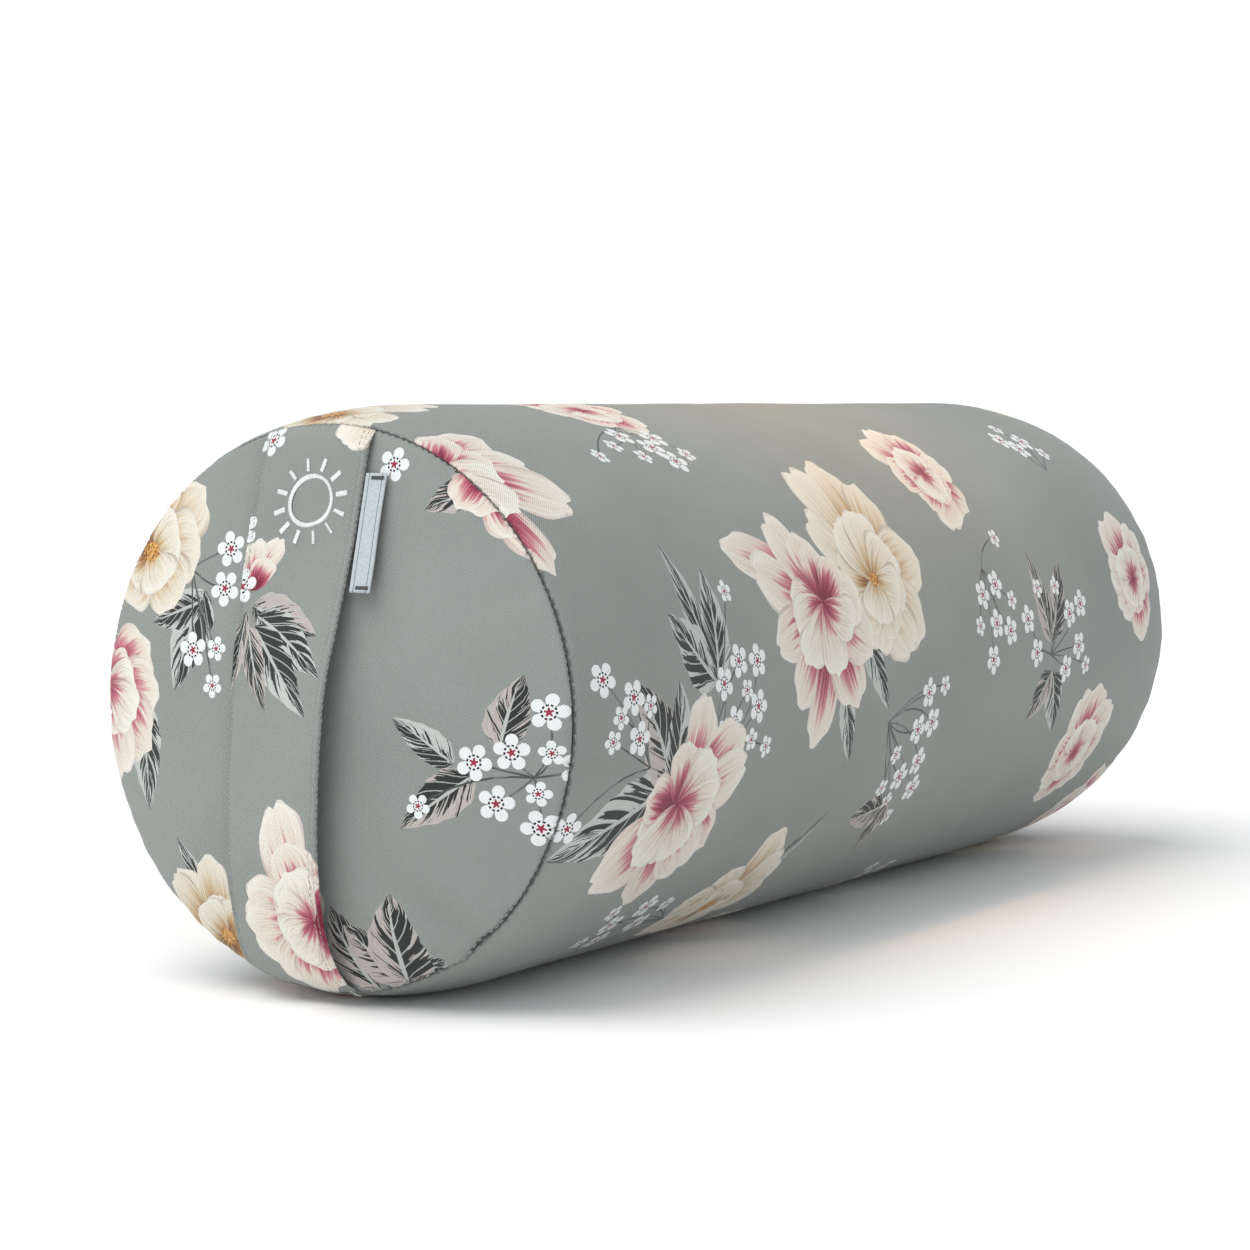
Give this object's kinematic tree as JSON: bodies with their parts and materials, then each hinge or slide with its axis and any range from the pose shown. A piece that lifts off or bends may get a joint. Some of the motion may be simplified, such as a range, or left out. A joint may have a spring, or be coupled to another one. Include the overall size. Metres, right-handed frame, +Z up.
{
  "type": "bolster pillow",
  "caption": "Round bolster pillow with a removable printed cloth cover, a rear lengthwise zip and a loose cloth handle band on its front end.",
  "frame": {"origin": "on the floor under the middle of the body, at the centre of the flattened underside", "axes": "+X along the bolster away from the handle end, +Y towards the zip side, +Z up"},
  "size_m": [0.6258, 0.2311, 0.2266],
  "materials": {
    "printed_cotton": "matt peached cotton twill with a floral print",
    "calico": "plain unbleached weave",
    "fibre_filling": "loose fibre",
    "sewing_thread": "spun polyester thread",
    "satin_stitch": "glossy embroidery thread",
    "woven_ribbon": "fine woven polyester ribbon",
    "dark_thread": "dark bar tack",
    "zip_tape": "woven zip tape",
    "zip_coil": "nylon coil",
    "zip_metal": "nickel-plated zinc"
  },
  "bodies": {
    "bolster": {"cover_body": "printed_cotton", "cover_end_front": "printed_cotton", "cover_end_rear": "printed_cotton", "handle_band": "printed_cotton", "inner_case_body": "calico", "inner_case_end_front": "calico", "inner_case_end_rear": "calico", "filling": "fibre_filling", "seam_thread_front": "sewing_thread", "seam_thread_rear": "sewing_thread", "band_topstitch_loose_outer": "sewing_thread", "band_topstitch_loose_inner": "sewing_thread", "band_topstitch_fixed": "sewing_thread", "emblem_embroidery": "satin_stitch", "zip_tape_upper": "zip_tape", "zip_tape_lower": "zip_tape", "zip_coil_upper": "zip_coil", "zip_coil_lower": "zip_coil", "zip_top_stop_upper": "zip_metal", "zip_top_stop_lower": "zip_metal", "zip_bottom_stop": "zip_metal", "zip_topstitch_upper": "sewing_thread", "zip_topstitch_lower": "sewing_thread"},
    "slider": {"zip_slider": "zip_metal"},
    "pull": {"zip_pull": "zip_metal"},
    "label": {"side_label": "woven_ribbon", "label_tack_top": "dark_thread", "label_tack_bottom": "dark_thread"}
  },
  "joints": [
    {"name": "zip_slide", "type": "slide", "parent": "bolster", "child": "slider", "axis": [1, 0, 0], "range_m": [-0.441, 0]},
    {"name": "pull_swing", "type": "hinge", "parent": "slider", "child": "pull", "pos_m": [0.2206, 0.11419, 0.13213], "axis": [0, 0.1736, -0.9848], "range_deg": [0, 180]},
    {"name": "label_flap", "type": "hinge", "parent": "bolster", "child": "label", "pos_m": [-0.29312, -0.02219, 0.20169], "axis": [0.2519, 0, 0.9677], "range_deg": [-95, 8], "stiffness_Nm_per_rad": 0.0001}
  ]
}
